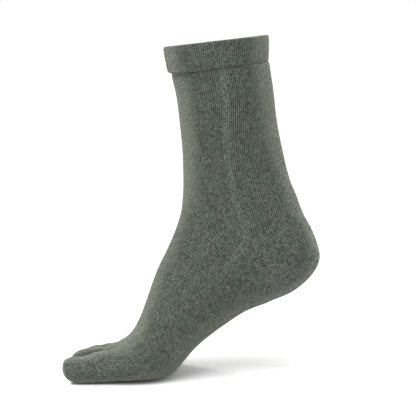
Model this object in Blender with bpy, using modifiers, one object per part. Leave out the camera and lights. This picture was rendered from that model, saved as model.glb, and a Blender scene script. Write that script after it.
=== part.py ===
"""A knitted toe sock for a right foot, kept in the form it has on the foot: cuff, leg, heel, foot and five toes.

The leg opening's centre is the origin. The toes point along -X, the heel along +X, the big toe is on the -Y
side, and +Z is up. The foot stands on tiptoe, so the ball and the toes lie on one floor and the heel is raised.
"""

import math

import bmesh
import bpy
import numpy as np

# Sizes that can each be set by themselves, in metres and degrees
HEIGHT = 0.2975       # from the centre of the leg opening down to the floor
REACH = 0.227         # from the back of the heel to the tip of the big toe
WIDTH = 0.096         # across the ball of the foot
KNIT = 0.0012         # thickness of one layer of knit
GAP = 0.0003          # clearance between two pieces that meet
CUFF_BAND = 0.022     # height of the turned welt
CUFF_TUCK = 0.006     # how far the welt's inner layer reaches down inside the leg
MOUTH_TILT = 6.7      # the leg leans towards the toes, and its opening leans with it
TOE_GAP = 0.0006      # between two toes that lie side by side

# How finely the knit is faceted
QUARTER = 16          # facets in a quarter of a ring
FINE = 96             # steps of the smooth curve that a ring's facets are spaced along
WALL_FACETS = 2       # facets in the flat side where two toes touch
TINY = 1e-9           # shorter than this, two points are one

# The fullness of a ring of the leg: 2 is an ellipse, and more is squarer
LEG_FULL = 2.1

# The cuff and the top of the leg inside it. Depth is in cuff bands, lengths across are shares of REACH,
# and half widths are shares of WIDTH.
CUFF_COLUMNS = ("depth", "outer_front", "outer_back", "outer_half", "leg_front", "leg_back", "leg_half")
CUFF = (
    (0.00, -0.2025, 0.2005, 0.432, -0.1920, 0.1925, 0.4150),
    (0.50, -0.1955, 0.2030, 0.437, -0.1830, 0.1950, 0.4170),
    (1.00, -0.1865, 0.2035, 0.440, -0.1725, 0.1965, 0.4200),
)
# The leg from under the cuff to the ankle. Down is the share of the way, from the cuff's hem to the ankle.
LEG_COLUMNS = ("down", "front", "side", "back", "half")
LEG = (
    (0.050, -0.168, 0.020, 0.2075, 0.424),
    (0.185, -0.152, 0.042, 0.2215, 0.410),
    (0.385, -0.139, 0.053, 0.2355, 0.372),
    (0.570, -0.130, 0.064, 0.2565, 0.346),
    (0.775, -0.127, 0.084, 0.2865, 0.340),
    (0.890, -0.130, 0.103, 0.3140, 0.352),
)
# The ankle ring: x as a share of REACH, z as a share of HEIGHT, half width as a share of WIDTH.
# Its front half is the border of leg and foot, and its back half the border of leg and heel.
ANKLE_FRONT = (-0.138, -0.510)
ANKLE_SIDE = (0.118, -0.574)
ANKLE_BACK = (0.339, -0.504)
ANKLE_HALF = 0.365
# The heel: the point furthest back of each half ring that fans out from the ankle's sides.
HEEL_COLUMNS = ("back_x", "back_z", "full")
HEEL = (
    (0.376, -0.556, LEG_FULL),
    (0.400, -0.603, LEG_FULL),
    (0.409, -0.640, LEG_FULL),
    (0.400, -0.674, LEG_FULL),
    (0.368, -0.711, 2.2),
    (0.304, -0.749, 2.2),
)
# The foot from the ankle to the toes. Each ring bends at its sides, where its upper and lower halves meet.
# Web is the share of the toes' oblique line that the ring follows, and dent is the share of the dents between
# the toes.
FOOT_COLUMNS = ("top_x", "top_z", "side_x", "side_z", "sole_x", "sole_z",
                "medial", "lateral", "ridge", "top_full", "sole_full", "web", "dent")
FOOT = (
    (*ANKLE_FRONT, *ANKLE_SIDE, 0.211, -0.777, ANKLE_HALF, ANKLE_HALF, 0.000, LEG_FULL, 2.2, 0.00, 0.00),
    (-0.164, -0.571, 0.040, -0.645, 0.121, -0.804, 0.360, 0.370, -0.010, 2.1, 2.2, 0.00, 0.00),
    (-0.196, -0.626, -0.031, -0.703, 0.048, -0.839, 0.355, 0.390, -0.020, 2.1, 2.3, 0.00, 0.00),
    (-0.229, -0.678, -0.094, -0.756, -0.020, -0.877, 0.360, 0.420, -0.030, 2.1, 2.3, 0.00, 0.00),
    (-0.255, -0.731, -0.149, -0.802, -0.078, -0.914, 0.378, 0.450, -0.045, 2.1, 2.4, 0.00, 0.00),
    (-0.276, -0.777, -0.197, -0.845, -0.124, -0.954, 0.400, 0.482, -0.065, 2.1, 2.5, 0.05, 0.00),
    (-0.298, -0.820, -0.241, -0.888, -0.169, -0.990, 0.425, 0.507, -0.090, 2.1, 2.7, 0.15, 0.00),
    (-0.324, -0.858, -0.282, -0.919, -0.225, -1.000, 0.445, 0.525, -0.120, 2.1, 3.0, 0.30, 0.00),
    (-0.356, -0.884, -0.329, -0.939, -0.295, -1.000, 0.452, 0.540, -0.155, 2.1, 3.2, 0.50, 0.06),
    (-0.394, -0.900, -0.383, -0.952, -0.370, -1.000, 0.448, 0.535, -0.185, 2.1, 3.2, 0.75, 0.35),
    (-0.428, -0.908, -0.428, -0.961, -0.428, -0.997, 0.443, 0.521, -0.210, 2.1, 3.2, 1.00, 1.00),
)
# The line where the toes begin is a shallow arc seen from above: it falls back on both sides of its foremost point.
WEB_FRONT = (-0.432, -0.146)    # its foremost point, x as a share of REACH and y of WIDTH
WEB_FALL = 0.240                # how far back it falls at one WIDTH to the side, as a share of REACH
# The toes. Tip is x as a share of REACH. Outer is the y of the side away from the big toe, and turn is how far
# that side comes inwards for each metre forward. Top and sole are heights over the floor at the toe's root.
TOE_COLUMNS = ("name", "facets", "outer", "turn", "tip", "top", "sole")
TOES = (
    ("big_toe", 9, -0.146, 0.040, -0.594, 0.0915, 0.0025),
    ("second_toe", 6, 0.047, 0.070, -0.575, 0.0855, 0.0030),
    ("third_toe", 6, 0.224, 0.090, -0.538, 0.0800, 0.0030),
    ("fourth_toe", 5, 0.375, 0.110, -0.489, 0.0730, 0.0030),
    ("little_toe", 6, 0.521, 0.080, -0.428, 0.0645, 0.0030),
)
BIG_TOE_TURN = -0.010           # the big toe's free side leans outwards
TOE_FULL = 2.4
TOE_CLIP = 0.96                 # where a toe's round section is cut flat against its neighbour
# A toe along its length: half width and top as shares of those at its root, sole as a share of its top.
PROFILE_COLUMNS = ("along", "half", "top", "sole")
BIG_TOE_PROFILE = (
    (0.20, 0.99, 0.930, 0.005),
    (0.36, 0.98, 0.820, 0.000),
    (0.54, 0.98, 0.745, 0.000),
    (0.74, 0.98, 0.775, 0.030),
    (0.88, 0.89, 0.765, 0.150),
    (0.96, 0.64, 0.700, 0.360),
    (0.99, 0.37, 0.620, 0.520),
)
SMALL_TOE_PROFILE = (
    (0.20, 1.00, 0.990, 0.005),
    (0.38, 1.00, 0.965, 0.000),
    (0.55, 0.995, 0.950, 0.000),
    (0.72, 0.97, 0.900, 0.020),
    (0.86, 0.84, 0.810, 0.100),
    (0.95, 0.58, 0.690, 0.240),
    (0.99, 0.32, 0.580, 0.360),
)

YARN_COLOUR = (0.105, 0.135, 0.105, 1.0)
HEEL_COLOUR = (0.115, 0.130, 0.108, 1.0)
ROUGHNESS = 0.95


def rows(table, columns):
    """A table's rows as dictionaries, one for each section."""
    return [dict(zip(columns, row)) for row in table]


def quarter(side, end, bend_x, bend_z, end_x, end_z, full):
    """A quarter of a ring, from its side (y = side) to its top or sole (y = end)."""
    angle = np.linspace(0, math.pi / 2, FINE)
    out = np.cos(angle) ** (2 / full)
    up = np.sin(angle) ** (2 / full)
    out[-1] = 0
    y = end + (side - end) * out
    return np.stack([bend_x + (end_x - bend_x) * up, y, bend_z + (end_z - bend_z) * up], axis=1)


def spaced(curve, shares):
    """Points of a fine curve at given shares of its length."""
    steps = np.linalg.norm(np.diff(curve, axis=0), axis=1)
    along = np.concatenate([[0], np.cumsum(steps)]) / steps.sum()
    return np.stack([np.interp(shares, along, curve[:, axis]) for axis in range(3)], axis=1)


def half_ring(start, middle, end, halves, ridge, full):
    """The fine curve over a half ring, from one side to the other, and the share of its length at the ridge."""
    first = quarter(halves[0], ridge, start[0], start[1], middle[0], middle[1], full)
    second = quarter(halves[1], ridge, end[0], end[1], middle[0], middle[1], full)[::-1]
    length = [np.linalg.norm(np.diff(part, axis=0), axis=1).sum() for part in (first, second)]
    return np.concatenate([first, second[1:]]), length[0] / sum(length)


def even_shares(ridge_share):
    """Shares that give each of the two quarters the same number of facets."""
    first = np.linspace(0, ridge_share, QUARTER + 1)
    return np.concatenate([first, np.linspace(ridge_share, 1, QUARTER + 1)[1:]])


def leg_ring(front, side, back, half):
    """A closed ring from the big toe's side over the front to the other side, and round the back."""
    over, over_ridge = half_ring(side, front, side, (-half, half), 0, LEG_FULL)
    under, under_ridge = half_ring(side, back, side, (half, -half), 0, LEG_FULL)
    top = spaced(over, even_shares(over_ridge))
    bottom = spaced(under, even_shares(under_ridge))
    return np.concatenate([top, bottom[1:-1]])


def at(x, z):
    """A table's x and z as metres."""
    return (x * REACH, z * HEIGHT)


def mouth_point(x, depth):
    """A point x to the back and depth below the plane of the leg opening."""
    tilt = math.radians(MOUTH_TILT)
    return (x * REACH, x * REACH * math.tan(tilt) - depth / math.cos(tilt))


def cuff_ring(row, layer):
    """The ring of the cuff's outer layer, or of the leg inside it, at a row of the cuff's table."""
    depth = row["depth"] * CUFF_BAND
    if layer == "leg" and row["depth"] == 0:
        depth = KNIT + 2 * GAP
    front, back = row[layer + "_front"], row[layer + "_back"]
    middle = (front + back) / 2
    return leg_ring(mouth_point(front, depth), mouth_point(middle, depth),
                    mouth_point(back, depth), row[layer + "_half"] * WIDTH)


def leg_rings():
    """The leg's rings, from its edge inside the cuff down to the ankle."""
    rings = [cuff_ring(row, "leg") for row in rows(CUFF, CUFF_COLUMNS)]
    hem = rows(CUFF, CUFF_COLUMNS)[-1]
    starts = [mouth_point(hem["leg_front"], CUFF_BAND)[1],
              mouth_point((hem["leg_front"] + hem["leg_back"]) / 2, CUFF_BAND)[1],
              mouth_point(hem["leg_back"], CUFF_BAND)[1]]
    ends = [ANKLE_FRONT[1] * HEIGHT, ANKLE_SIDE[1] * HEIGHT, ANKLE_BACK[1] * HEIGHT]
    for row in rows(LEG, LEG_COLUMNS):
        places = []
        for column, start, end in zip(("front", "side", "back"), starts, ends):
            places.append((row[column] * REACH, start + (end - start) * row["down"]))
        rings.append(leg_ring(*places, row["half"] * WIDTH))
    rings.append(leg_ring(at(*ANKLE_FRONT), at(*ANKLE_SIDE), at(*ANKLE_BACK), ANKLE_HALF * WIDTH))
    return rings


def heel_rings():
    """Half rings that share the ankle's two side points, from the leg's border round to the foot's."""
    sole = rows(FOOT, FOOT_COLUMNS)[0]
    backs = [(*ANKLE_BACK, LEG_FULL), *HEEL, (sole["sole_x"], sole["sole_z"], sole["sole_full"])]
    side = at(*ANKLE_SIDE)
    half = ANKLE_HALF * WIDTH
    rings = []
    for row in rows(backs, HEEL_COLUMNS):
        curve, ridge = half_ring(side, at(row["back_x"], row["back_z"]), side, (half, -half), 0, row["full"])
        rings.append(spaced(curve, even_shares(ridge)))
    return rings


def web_x(y):
    """The x of the line where the toes begin, at a given y."""
    across = y / WIDTH - WEB_FRONT[1]
    return (WEB_FRONT[0] + WEB_FALL * across * across) * REACH


def toe_roots():
    """Each toe's side walls, centre, half width and heights at its root."""
    inner = -rows(FOOT, FOOT_COLUMNS)[-1]["medial"] * WIDTH
    turn = BIG_TOE_TURN
    roots = []
    for number, row in enumerate(rows(TOES, TOE_COLUMNS)):
        outer = row["outer"] * WIDTH
        left_clip = 1.0 if number == 0 else TOE_CLIP
        right_clip = 1.0 if number == len(TOES) - 1 else TOE_CLIP
        half = (outer - inner) / (left_clip + right_clip)
        roots.append(dict(row, inner=inner, outer_y=outer, half=half, centre=inner + half * left_clip,
                          left_clip=left_clip, right_clip=right_clip, inner_turn=turn,
                          profile=SMALL_TOE_PROFILE if number else BIG_TOE_PROFILE,
                          top_z=(row["top"] - 1) * HEIGHT, sole_z=(row["sole"] - 1) * HEIGHT))
        inner = outer
        turn = row["turn"]
    return roots


def toe_arc(centre, half, clips, top_z, sole_z, facets, upper):
    """The upper or lower arc of a toe's section between its flat sides, as (y, z) points from left to right."""
    middle = (top_z + sole_z) / 2
    rise = (top_z - sole_z) / 2 * (1 if upper else -1)
    start = -math.acos(max(-1.0, min(1.0, clips[0] ** (TOE_FULL / 2))))
    end = math.acos(max(-1.0, min(1.0, clips[1] ** (TOE_FULL / 2))))
    angle = np.linspace(-math.pi - start, -end, FINE)
    across = np.sign(np.cos(angle)) * np.abs(np.cos(angle)) ** (2 / TOE_FULL)
    lift = np.abs(np.sin(angle)) ** (2 / TOE_FULL)
    curve = np.stack([np.zeros(FINE), centre + half * across, middle + rise * lift], axis=1)
    return spaced(curve, np.linspace(0, 1, facets + 1))[:, 1:]


def web_ring():
    """The foot's lobed front edge, where the toes begin, and the place of each toe's facets in it."""
    upper, lower, places = [], [], []
    for root in toe_roots():
        clips = (root["left_clip"], root["right_clip"])
        values = (root["centre"], root["half"], clips, root["top_z"], root["sole_z"], root["facets"])
        above, below = toe_arc(*values, True), toe_arc(*values, False)
        if upper:
            above[0] = (above[0] + upper[-1]) / 2
            below[0] = (below[0] + lower[-1]) / 2
            upper[-1], lower[-1] = above[0], below[0]
            above, below = above[1:], below[1:]
        places.append((max(len(upper) - 1, 0), max(len(upper) - 1, 0) + root["facets"]))
        upper.extend(above)
        lower.extend(below)
    points = np.array(upper + lower[::-1][1:-1])
    middle = (points[0] + points[len(upper) - 1]) / 2
    points[0][1] = points[len(upper) - 1][1] = middle[1]
    ring = np.stack([[web_x(y) for y in points[:, 0]], points[:, 0], points[:, 1]], axis=1)
    return ring, places


def shares_of(points):
    """The share of a line's length at each of its points."""
    steps = np.linalg.norm(np.diff(points, axis=0), axis=1)
    return np.concatenate([[0], np.cumsum(steps)]) / steps.sum()


def foot_rings():
    """The foot's rings. They turn slowly from even facets at the ankle to the toes' own facets at the web."""
    lobed, _ = web_ring()
    half = 2 * QUARTER
    toe_top = shares_of(lobed[:half + 1])
    toe_sole = shares_of(np.concatenate([lobed[half:], lobed[:1]]))
    table = rows(FOOT, FOOT_COLUMNS)
    smooth = []
    for number, row in enumerate(table):
        turn = number / (len(table) - 1)
        side = at(row["side_x"], row["side_z"])
        widths = (-row["medial"] * WIDTH, row["lateral"] * WIDTH)
        ridge = row["ridge"] * WIDTH
        over, over_ridge = half_ring(side, at(row["top_x"], row["top_z"]), side, widths, ridge, row["top_full"])
        under, under_ridge = half_ring(side, at(row["sole_x"], row["sole_z"]), side, widths[::-1], 0,
                                       row["sole_full"])
        top = spaced(over, (1 - turn) * even_shares(over_ridge) + turn * toe_top)
        sole = spaced(under, (1 - turn) * even_shares(under_ridge) + turn * toe_sole)
        ring = np.concatenate([top, sole[1:-1]])
        skew = np.array([web_x(y) for y in ring[:, 1]]) - WEB_FRONT[0] * REACH
        ring[:, 0] += row["web"] * skew
        smooth.append(ring)
    dents = lobed - smooth[-1]
    return [ring + row["dent"] * dents for ring, row in zip(smooth, table)]


def wall_points(upper, lower):
    """The points between the upper and lower edge of a toe's flat side."""
    return [upper + (lower - upper) * step / WALL_FACETS for step in range(1, WALL_FACETS)]


def toe_ring(over, under, left_wall, right_wall):
    """A toe's ring from its upper and lower arcs, both from left to right, with its flat sides filled in."""
    ring = []
    if left_wall:
        ring.extend(wall_points(under[0], over[0]))
    ring.extend(over)
    if right_wall:
        ring.extend(wall_points(over[-1], under[-1]))
        ring.extend(under[::-1])
    else:
        ring.extend(under[::-1][1:])
    if not left_wall:
        ring.pop()
    return np.array(ring)


def toe_rings(root, front_edge, place):
    """A toe's rings from its root, just ahead of the foot's edge, to its tip."""
    half = 2 * QUARTER
    count = len(front_edge)
    over = np.array([front_edge[i] for i in range(place[0], place[1] + 1)])
    under = np.array([front_edge[(count - i) % count] for i in range(place[0], place[1] + 1)])
    if place[1] == half:
        under[-1] = over[-1]
    left_wall, right_wall = root["left_clip"] < 1, root["right_clip"] < 1
    step = np.array([-GAP, 0, 0])
    over, under = over + step, under + step
    if left_wall:
        over[0][1] += TOE_GAP / 2
        under[0][1] += TOE_GAP / 2
    if right_wall:
        over[-1][1] -= TOE_GAP / 2
        under[-1][1] -= TOE_GAP / 2
    rings = [toe_ring(over, under, left_wall, right_wall)]
    floor = -HEIGHT
    start_x = web_x(root["centre"])
    tip_x = root["tip"] * REACH
    for row in rows(root["profile"], PROFILE_COLUMNS):
        centre_x = start_x + (tip_x - start_x) * row["along"]
        bend = max(0.0, 1 - 2 * row["along"]) ** 2
        sides = []
        for wall_y, turn in ((root["inner"], root["inner_turn"]), (root["outer_y"], root["turn"])):
            wall_x = centre_x + (web_x(wall_y) - start_x) * bend
            sides.append(wall_y - turn * (web_x(wall_y) - wall_x))
        inner = sides[0] + (TOE_GAP / 2 if left_wall else 0)
        outer = sides[1] - (TOE_GAP / 2 if right_wall else 0)
        full_half = (outer - inner) / (root["left_clip"] + root["right_clip"])
        centre = inner + full_half * root["left_clip"]
        top_z = floor + (root["top_z"] - floor) * row["top"]
        sole_z = floor + (top_z - floor) * row["sole"]
        values = (centre, full_half * row["half"], (root["left_clip"], root["right_clip"]), top_z, sole_z,
                  root["facets"])
        arcs = []
        for upper in (True, False):
            arc = toe_arc(*values, upper)
            x = [centre_x + (web_x(y) - start_x) * bend for y in arc[:, 0]]
            arcs.append(np.stack([x, arc[:, 0], arc[:, 1]], axis=1))
        rings.append(toe_ring(arcs[0], arcs[1], left_wall, right_wall))
    return rings


def collection_of(name):
    """A collection in the scene, made when it is first asked for."""
    found = bpy.data.collections.get(name)
    if not found:
        found = bpy.data.collections.new(name)
        bpy.context.scene.collection.children.link(found)
    return found


def knit_material(name, colour):
    material = bpy.data.materials.new(name)
    material.use_nodes = True
    shader = material.node_tree.nodes["Principled BSDF"]
    shader.inputs["Base Color"].default_value = colour
    shader.inputs["Roughness"].default_value = ROUGHNESS
    shader.inputs["Metallic"].default_value = 0.0
    material.diffuse_color = colour
    return material


def object_of(name, builder, material, parent):
    """An object from a bmesh, with its faces turned outwards by the way the rings run."""
    mesh = bpy.data.meshes.new(name)
    builder.to_mesh(mesh)
    builder.free()
    mesh.shade_smooth()
    mesh.materials.append(material)
    piece = bpy.data.objects.new(name, mesh)
    collection_of("toe_sock").objects.link(piece)
    piece.parent = parent
    return piece


def knit_layer(piece):
    """Gives an open surface the thickness of the knit, inwards, so that its outside keeps its size."""
    wall = piece.modifiers.new("knit", "SOLIDIFY")
    wall.thickness = KNIT
    wall.offset = -1
    wall.use_even_offset = True
    wall.use_quality_normals = True
    wall.use_rim = True


def tube(rings):
    """A bmesh of quads between closed rings that have as many points each."""
    builder = bmesh.new()
    grid = [[builder.verts.new(point) for point in ring] for ring in rings]
    for upper, lower in zip(grid, grid[1:]):
        for i in range(len(upper)):
            j = (i + 1) % len(upper)
            builder.faces.new((upper[i], upper[j], lower[j], lower[i]))
    return builder, grid


def inset_ends(rings, first, last):
    """Draws a tube's first and last ring in along its sides, so that it stays clear of its neighbour."""
    rings = [ring.copy() for ring in rings]
    for end, inner, distance in ((0, 1, first), (-1, -2, last)):
        along = rings[inner] - rings[end]
        length = np.linalg.norm(along, axis=1, keepdims=True)
        rings[end] = rings[end] + along / np.maximum(length, TINY) * distance
    return rings


def make_leg(material, parent):
    builder, _ = tube(inset_ends(leg_rings(), 0, GAP / 2))
    knit_layer(object_of("leg", builder, material, parent))


def make_foot(material, parent):
    builder, _ = tube(inset_ends(foot_rings(), GAP / 2, 0))
    knit_layer(object_of("foot", builder, material, parent))


def make_heel(material, parent):
    """The heel is a cup of half rings that fan out from one point on each side of the ankle."""
    rings = inset_ends(heel_rings(), GAP / 2, GAP / 2)
    middle = rings[len(rings) // 2]
    toward = middle[QUARTER] - (middle[0] + middle[-1]) / 2
    toward = toward / np.linalg.norm(toward) * GAP
    builder = bmesh.new()
    ends = [builder.verts.new(rings[0][0] + toward), builder.verts.new(rings[0][-1] + toward)]
    grid = []
    for ring in rings:
        inner = [builder.verts.new(point) for point in ring[1:-1]]
        grid.append([ends[0]] + inner + [ends[1]])
    for upper, lower in zip(grid, grid[1:]):
        for i in range(len(upper) - 1):
            corners = []
            for corner in (upper[i], upper[i + 1], lower[i + 1], lower[i]):
                if corner not in corners:
                    corners.append(corner)
            builder.faces.new(corners)
    knit_layer(object_of("heel", builder, material, parent))


def make_toe(root, front_edge, place, material, parent):
    """A toe is a blind tube whose tip is closed by a strip between its upper and its lower side."""
    builder, grid = tube(toe_rings(root, front_edge, place))
    tip = grid[-1]
    count = len(tip)
    start = 0
    if root["left_clip"] < 1:
        start = (WALL_FACETS - 1) // 2
    tip = tip[start:] + tip[:start]
    for i in range(count // 2):
        corners = []
        for corner in (tip[i], tip[i + 1], tip[(count - i - 1) % count], tip[(count - i) % count]):
            if corner not in corners:
                corners.append(corner)
        builder.faces.new(corners)
    knit_layer(object_of(root["name"], builder, material, parent))


def make_cuff(material, parent):
    """The cuff is a turned welt: its layer outside the leg, the fold over the leg's edge, and a short inner layer."""
    table = rows(CUFF, CUFF_COLUMNS)
    outer = [cuff_ring(row, "outer") for row in table]
    leg = cuff_ring(table[0], "leg")
    below = leg_rings()[1]
    tilt = math.radians(MOUTH_TILT)
    up = np.array([-math.sin(tilt), 0, math.cos(tilt)])
    leg_top = leg + up * (KNIT + 2 * GAP)
    along = below - leg
    along = along / np.linalg.norm(along, axis=1, keepdims=True)
    centre = leg_top.mean(axis=0)
    tangent = np.roll(leg_top, -1, axis=0) - np.roll(leg_top, 1, axis=0)
    out = np.cross(tangent, up)
    out = out / np.linalg.norm(out, axis=1, keepdims=True)
    out = out * np.sign((out * (leg_top - centre)).sum(axis=1, keepdims=True))
    inner = leg_top - out * (2 * KNIT + GAP)
    soft = KNIT / 2
    profile = [
        outer[2] + up * soft,
        outer[1],
        outer[0] - up * KNIT,
        outer[0] - out * soft,
        inner + out * soft,
        inner - up * KNIT,
        inner + along * CUFF_TUCK,
        inner + along * CUFF_TUCK + out * KNIT,
        inner - up * KNIT + out * KNIT,
        outer[0] - up * KNIT - out * KNIT,
        outer[1] - out * KNIT,
        outer[2] - out * KNIT + up * soft,
        outer[2] - out * soft,
    ]
    profile = [np.array(ring) for ring in profile]
    builder, grid = tube(profile)
    for i in range(len(grid[0])):
        j = (i + 1) % len(grid[0])
        builder.faces.new((grid[-1][i], grid[-1][j], grid[0][j], grid[0][i]))
    bmesh.ops.recalc_face_normals(builder, faces=builder.faces)
    object_of("cuff", builder, material, parent)


def clear_scene():
    for item in list(bpy.data.objects):
        bpy.data.objects.remove(item, do_unlink=True)


def main():
    clear_scene()
    knit = knit_material("melange_knit", YARN_COLOUR)
    heel_knit = knit_material("heel_knit", HEEL_COLOUR)
    holder = bpy.data.objects.new("toe_sock", None)
    collection_of("toe_sock").objects.link(holder)
    make_cuff(knit, holder)
    make_leg(knit, holder)
    make_heel(heel_knit, holder)
    make_foot(knit, holder)
    front_edge = foot_rings()[-1]
    _, places = web_ring()
    for root, place in zip(toe_roots(), places):
        make_toe(root, front_edge, place, knit, holder)


main()
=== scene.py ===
# %% [markdown]
# # A knitted toe sock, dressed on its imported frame
# The solids of the sock are loaded first and never moved. They say how long, how high and how wide the sock
# is, so every size below follows from them. Around them this lesson makes the sock again as fine knit: a tube
# with ribs for its columns of stitches, a turned heel, five toes and a welt round the opening.

# %% Load the frame and read the sock's sizes
import math
import bpy
import numpy as np
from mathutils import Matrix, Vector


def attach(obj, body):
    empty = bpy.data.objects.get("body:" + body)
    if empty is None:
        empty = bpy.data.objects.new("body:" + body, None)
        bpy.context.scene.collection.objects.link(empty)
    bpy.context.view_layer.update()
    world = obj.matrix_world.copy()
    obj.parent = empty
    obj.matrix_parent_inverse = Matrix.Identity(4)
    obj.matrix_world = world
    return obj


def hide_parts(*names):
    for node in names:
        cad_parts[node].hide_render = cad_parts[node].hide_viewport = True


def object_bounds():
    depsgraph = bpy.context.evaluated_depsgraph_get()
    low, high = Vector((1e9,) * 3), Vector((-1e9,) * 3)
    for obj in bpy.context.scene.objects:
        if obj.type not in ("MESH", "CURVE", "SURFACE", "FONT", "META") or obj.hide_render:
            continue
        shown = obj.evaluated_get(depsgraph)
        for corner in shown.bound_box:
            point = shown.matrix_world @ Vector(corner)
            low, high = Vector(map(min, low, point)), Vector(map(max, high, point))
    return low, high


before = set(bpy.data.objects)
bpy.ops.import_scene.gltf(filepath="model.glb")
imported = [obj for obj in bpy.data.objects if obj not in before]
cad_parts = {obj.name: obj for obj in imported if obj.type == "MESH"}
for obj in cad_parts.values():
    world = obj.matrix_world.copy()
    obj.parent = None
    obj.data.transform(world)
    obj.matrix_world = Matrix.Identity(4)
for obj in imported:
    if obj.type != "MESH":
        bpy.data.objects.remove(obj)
cad_box = [list(corner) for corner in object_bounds()]
low, high = cad_box
HEEL_SHARE = 0.409              # the heel's furthest point, as a share of the reach
BALL_SHARES = (0.452, 0.540)    # how far the ball stands out on the big toe's and the little toe's side
FLOOR = low[2]
HEIGHT = -FLOOR
REACH = high[0] / HEEL_SHARE
WIDTH = (high[1] - low[1]) / sum(BALL_SHARES)
MM = 0.001
KNIT = 1.2 * MM                 # one layer of knit
print(f"height {HEIGHT:.4f} m, reach {REACH:.4f} m, width {WIDTH:.4f} m")

# %% [markdown]
# ## The camera
# A long lens a good metre away flattens the sock as a shop's photo does. The camera looks down by a few
# degrees, so its height, its pitch and its lens are all that is needed to set the sock in the same place of
# the picture. The lens is worked out from how many pixels of the picture a metre fills at that distance.

# %% Camera
PICTURE = 416                   # pixels on each side of the picture
SENSOR = 36.0                   # the width of the camera's sensor in millimetres
FOCUS_PIXELS = 1250.0           # the lens, counted in pixels of the picture
HORIZON_PIXEL = 41.0            # the row of the picture that lies level with the camera
DISTANCE = 1.1                  # metres from the camera to the middle of the sock
CAMERA_X = -0.007
pitch = math.atan((PICTURE / 2 - HORIZON_PIXEL) / FOCUS_PIXELS)
bpy.ops.object.camera_add(location=(CAMERA_X, -DISTANCE, 0.0), rotation=(math.pi / 2 - pitch, 0.0, 0.0))
camera = bpy.context.object
camera.name = "camera"
camera.data.sensor_width = SENSOR
camera.data.lens = FOCUS_PIXELS / PICTURE * SENSOR
bpy.context.scene.camera = camera
print(f"lens {camera.data.lens:.0f} mm, pitch {math.degrees(pitch):.1f} degrees")

# %% [markdown]
# ## Sections of the sock
# A knitted tube takes the form of the foot in it. Here that form is a row of rings, made of quarters of a
# superellipse: a fullness of 2 gives an ellipse, and more gives a squarer ring. Such rings could be drawn by
# hand, but as a formula they keep their points at even distances, and the columns of stitches can follow
# those points from the cuff to the toes.

# %% Quarters and half rings
COLUMNS = 448                   # points round the sock
HALF = COLUMNS // 2
QUARTER = COLUMNS // 4
WALE = 3                        # points across one column of stitches
FINE = 1200                     # steps of the curve that a ring's points are spaced along
LEG_FULL = 2.1                  # the fullness of the leg's rings
TINY = 1e-9                     # shorter than this, a length isn't divided by


def rows(table, columns):
    """A table's rows as dictionaries, one for each section."""
    return [dict(zip(columns, row)) for row in table]


def at(x, z):
    """A table's x and z, in shares of the reach and the height, as metres."""
    return (x * REACH, z * HEIGHT)


def quarter(side_y, end_y, bend, far, full):
    """A quarter of a ring from its side, at bend, to its top or sole, at far."""
    angle = np.linspace(0, math.pi / 2, FINE)
    out = np.abs(np.cos(angle)) ** (2 / full)
    up = np.sin(angle) ** (2 / full)
    return np.stack([bend[0] + (far[0] - bend[0]) * up, end_y + (side_y - end_y) * out,
                     bend[1] + (far[1] - bend[1]) * up], axis=1)


def lengths(curve):
    """The distance along a curve at each of its points."""
    steps = np.linalg.norm(np.diff(curve, axis=0), axis=1)
    return np.concatenate([[0], np.cumsum(steps)])


def spaced(curve, shares):
    """Points of a curve at given shares of its length."""
    along = lengths(curve)
    return np.stack([np.interp(shares * along[-1], along, curve[:, axis]) for axis in range(3)], axis=1)


def half_ring(bend, far, halves, ridge, full):
    """The curve over a half ring, from one side to the other, and the share of its length at the ridge."""
    first = quarter(halves[0], ridge, bend, far, full)
    second = quarter(halves[1], ridge, bend, far, full)[::-1]
    share = lengths(first)[-1] / (lengths(first)[-1] + lengths(second)[-1])
    return np.concatenate([first, second[1:]]), share


def even_shares(ridge_share):
    """Shares that give each of the two quarters of a half ring as many points."""
    first = np.linspace(0, ridge_share, QUARTER + 1)
    return np.concatenate([first, np.linspace(ridge_share, 1, QUARTER + 1)[1:]])


def leg_ring(front, side, back, half):
    """A closed ring from the big toe's side over the front to the other side, and round the back."""
    over, over_ridge = half_ring(side, front, (-half, half), 0, LEG_FULL)
    under, under_ridge = half_ring(side, back, (half, -half), 0, LEG_FULL)
    top = spaced(over, even_shares(over_ridge))
    return np.concatenate([top, spaced(under, even_shares(under_ridge))[1:-1]])


print(f"a ring has {len(leg_ring((-0.04, 0), (0, 0), (0.04, 0), 0.04))} points")

# %% [markdown]
# ## The leg and the cuff's line
# The leg leans towards the toes and tapers to the ankle. Each row of a table is a section: how far down it
# lies, and where its front, sides and back are. Shares of the sock's own sizes are used throughout, so the
# leg grows with the frame. The opening is cut across the leaning leg, so its rings tilt by the same angle.

# %% Rings of the cuff and the leg
MOUTH_TILT = math.radians(6.7)
CUFF_BAND = 22.0 * MM           # height of the turned welt
CUFF_COLUMNS = ("depth", "outer_front", "outer_back", "outer_half", "leg_front", "leg_back", "leg_half")
CUFF = ((0.00, -0.2025, 0.2005, 0.432, -0.1920, 0.1925, 0.4150),
        (0.50, -0.1955, 0.2030, 0.437, -0.1830, 0.1950, 0.4170),
        (1.00, -0.1865, 0.2012, 0.440, -0.1725, 0.1965, 0.4200))
LEG_EDGE = 1.8 * MM             # the leg's edge lies this far under the welt's fold
LEG_COLUMNS = ("down", "front", "side", "back", "half")
LEG = ((0.012, -0.1715, 0.020, 0.2045, 0.4215), (0.050, -0.168, 0.025, 0.2085, 0.424),
       (0.185, -0.152, 0.034, 0.2215, 0.410), (0.385, -0.139, 0.037, 0.2355, 0.372),
       (0.570, -0.130, 0.046, 0.2565, 0.346), (0.775, -0.127, 0.073, 0.2865, 0.340),
       (0.890, -0.130, 0.102, 0.3140, 0.352))
ANKLE_FRONT = (-0.138, -0.510)  # x as a share of the reach and z of the height
ANKLE_SIDE = (0.118, -0.574)
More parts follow.
